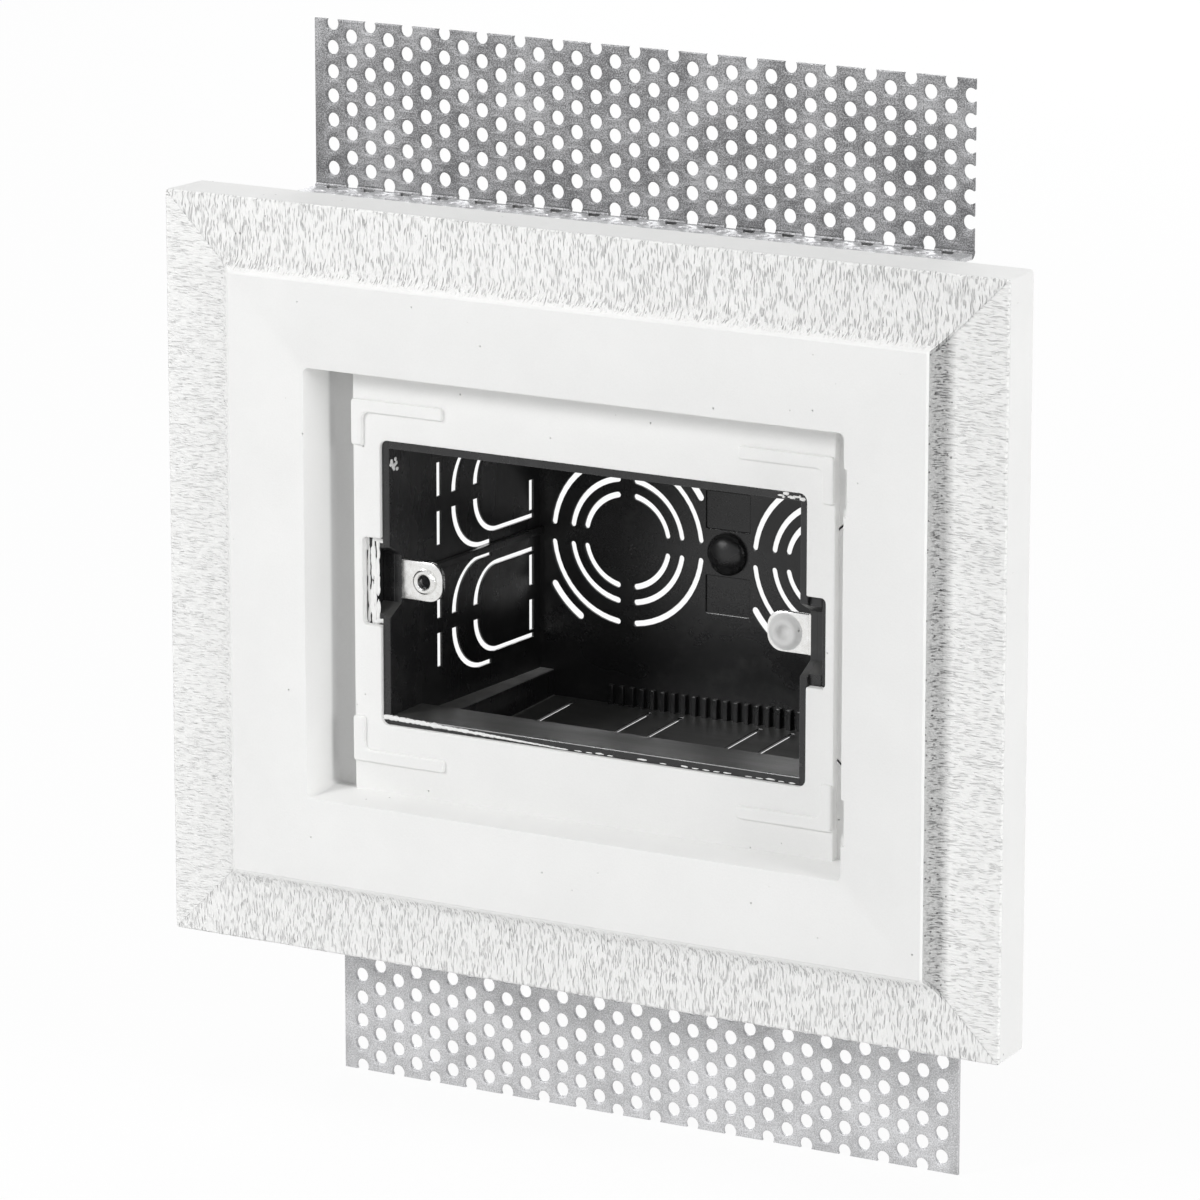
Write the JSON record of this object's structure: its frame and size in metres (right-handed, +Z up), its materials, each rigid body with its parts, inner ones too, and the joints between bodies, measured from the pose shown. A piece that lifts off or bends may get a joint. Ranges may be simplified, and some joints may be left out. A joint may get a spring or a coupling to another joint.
{
  "type": "drywall back box",
  "caption": "Cast plaster frame with a stepped recess, a moulded wiring box behind it and perforated steel wings, for setting a wall plate flush in a plasterboard wall.",
  "frame": {"origin": "midway between the two screw holes, on the front face of the steel tabs", "axes": "+X to the right, +Y into the wall, +Z up"},
  "size_m": [0.1922, 0.0679, 0.2232],
  "materials": {
    "plaster": "matte cast plaster",
    "box_plastic": "satin moulded plastic",
    "tab_steel": "zinc plated",
    "wing_steel": "galvanised"
  },
  "bodies": {
    "root": {"plaster_frame": "plaster", "back_box": "box_plastic", "screw_tab_left": "tab_steel", "screw_tab_right": "tab_steel", "upper_wing": "wing_steel", "lower_wing": "wing_steel"}
  },
  "joints": []
}
